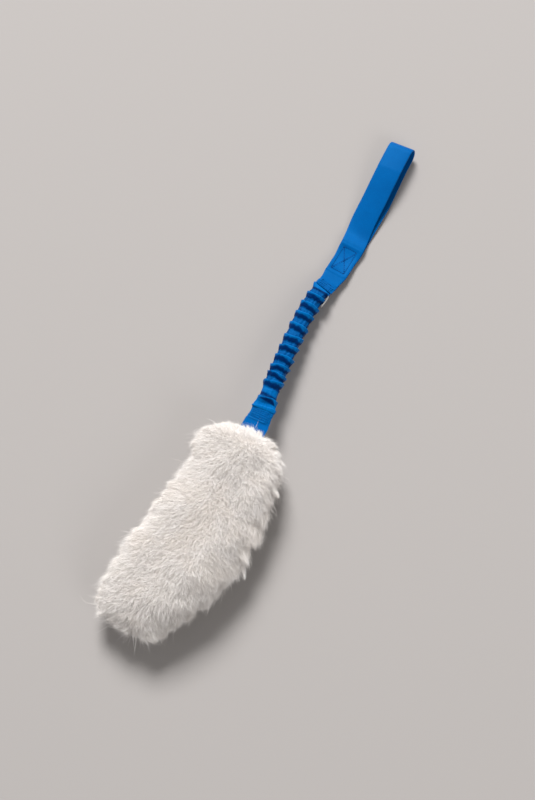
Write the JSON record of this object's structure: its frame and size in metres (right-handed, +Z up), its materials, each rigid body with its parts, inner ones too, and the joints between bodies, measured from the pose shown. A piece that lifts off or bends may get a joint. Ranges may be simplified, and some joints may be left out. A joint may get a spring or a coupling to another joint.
{
  "type": "sheepskin tug toy",
  "caption": "Long soft dog tug: a white sheepskin tube on a gathered blue bungee strap with a sewn hand loop.",
  "frame": {"origin": "on the flat patch on which the fleece lies, under the middle of the sheepskin tube", "axes": "+Y along the toy from the fleece to the hand loop, +Z up from the floor it lies on"},
  "size_m": [0.1134, 0.5704, 0.0611],
  "materials": {
    "white_wool": "matte",
    "tanned_hide": "matte",
    "blue_webbing": "satin",
    "blue_gathered_webbing": "satin",
    "elastic_rubber": "matte",
    "blue_thread": "satin",
    "pale_thread": "matte",
    "white_tape": "matte"
  },
  "bodies": {
    "sheepskin": {"wool_pile": "white_wool", "sheepskin_hide": "tanned_hide", "anchor_strap": "blue_webbing", "side_seam_thread": "pale_thread", "mouth_seam_thread": "pale_thread", "tail_seam_thread": "pale_thread"},
    "neck": {"neck_strap": "blue_webbing"},
    "bungee": {"bungee_sleeve": "blue_gathered_webbing", "elastic_core": "elastic_rubber", "lower_bar_tack": "blue_thread"},
    "bungee_head": {"upper_bar_tack": "blue_thread", "blank_label": "white_tape"},
    "handle": {"handle_strap": "blue_webbing", "box_stitch": "blue_thread"}
  },
  "joints": [
    {"name": "mouth_fold", "type": "hinge", "parent": "sheepskin", "child": "neck", "pos_m": [-0.0032, 0.1222, 0.0318], "axis": [1, 0, 0], "range_deg": [0, 90]},
    {"name": "bungee_swing", "type": "hinge", "parent": "neck", "child": "bungee", "pos_m": [-0.00326, 0.12285, 0.03093], "axis": [0, 0, 1], "range_deg": [-45, 45]},
    {"name": "bungee_stretch", "type": "slide", "parent": "bungee", "child": "bungee_head", "axis": [-0.0741, 0.9973, 0], "range_m": [0, 0.1], "stiffness_N_per_m": 400, "deforming": ["bungee_sleeve", "elastic_core"]},
    {"name": "handle_fold", "type": "hinge", "parent": "bungee_head", "child": "handle", "pos_m": [-0.0154, 0.2838, 0.0109], "axis": [0.9853, -0.1708, 0], "range_deg": [0, 110]}
  ]
}
